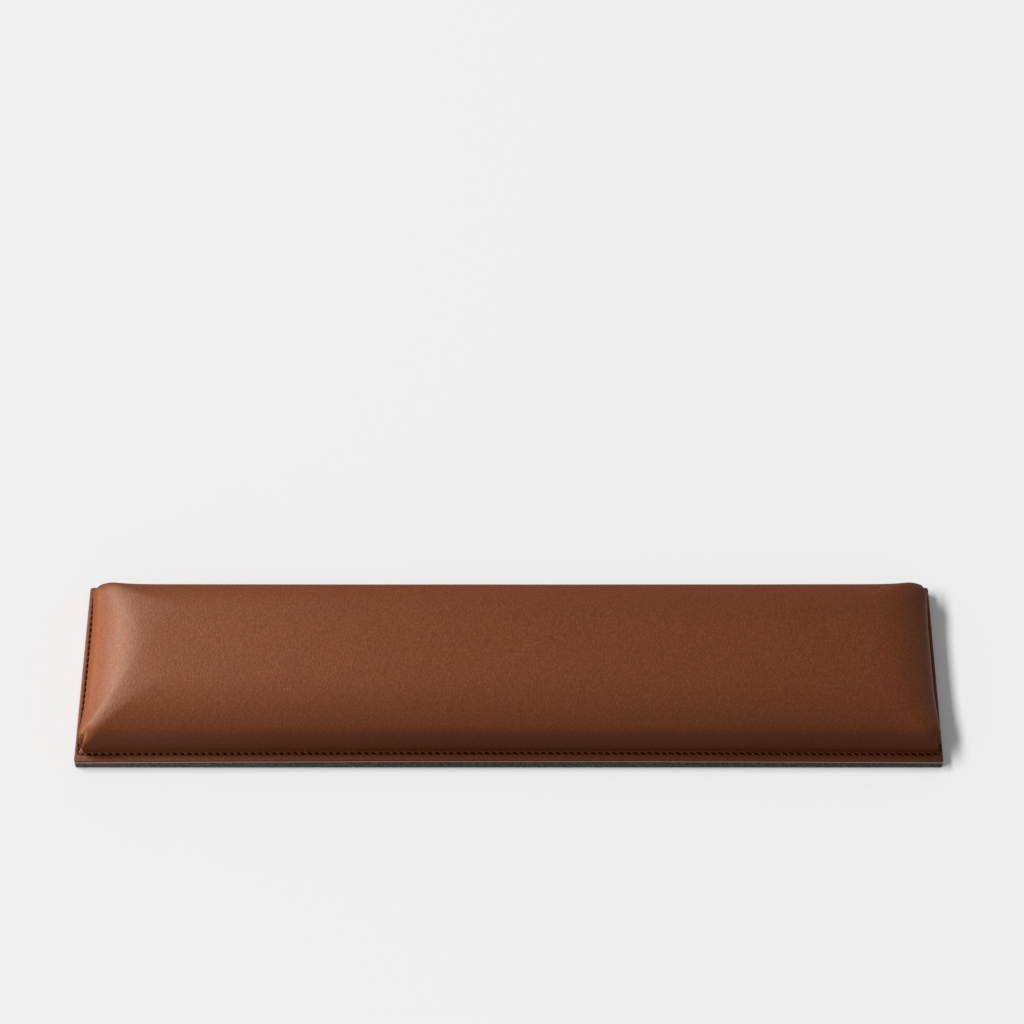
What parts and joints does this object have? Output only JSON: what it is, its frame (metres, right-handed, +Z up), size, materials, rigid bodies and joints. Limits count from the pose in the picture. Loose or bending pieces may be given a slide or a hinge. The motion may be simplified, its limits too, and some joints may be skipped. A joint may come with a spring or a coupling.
{
  "type": "keyboard wrist rest",
  "caption": "Long padded wrist rest for a compact keyboard: a domed leather cushion with a flat stitched flange on a dark non-slip base pad.",
  "frame": {"origin": "middle of the flat face that lies on the desk", "axes": "+X along the rest, to the user's right; +Y towards the keyboard; +Z up"},
  "size_m": [0.368, 0.0886, 0.02],
  "materials": {
    "leather": "satin",
    "needle_thread": "satin",
    "bobbin_thread": "satin",
    "comfort_foam": "matte",
    "support_foam": "matte",
    "board": "matte",
    "adhesive": "satin",
    "pad": "matte"
  },
  "bodies": {
    "root": {"leather_cover": "leather", "needle_thread": "needle_thread", "comfort_foam": "comfort_foam", "support_foam": "support_foam", "foam_adhesive": "adhesive", "stiffener_board": "board", "board_adhesive": "adhesive", "base_pad": "pad", "bobbin_thread": "bobbin_thread"}
  },
  "joints": []
}
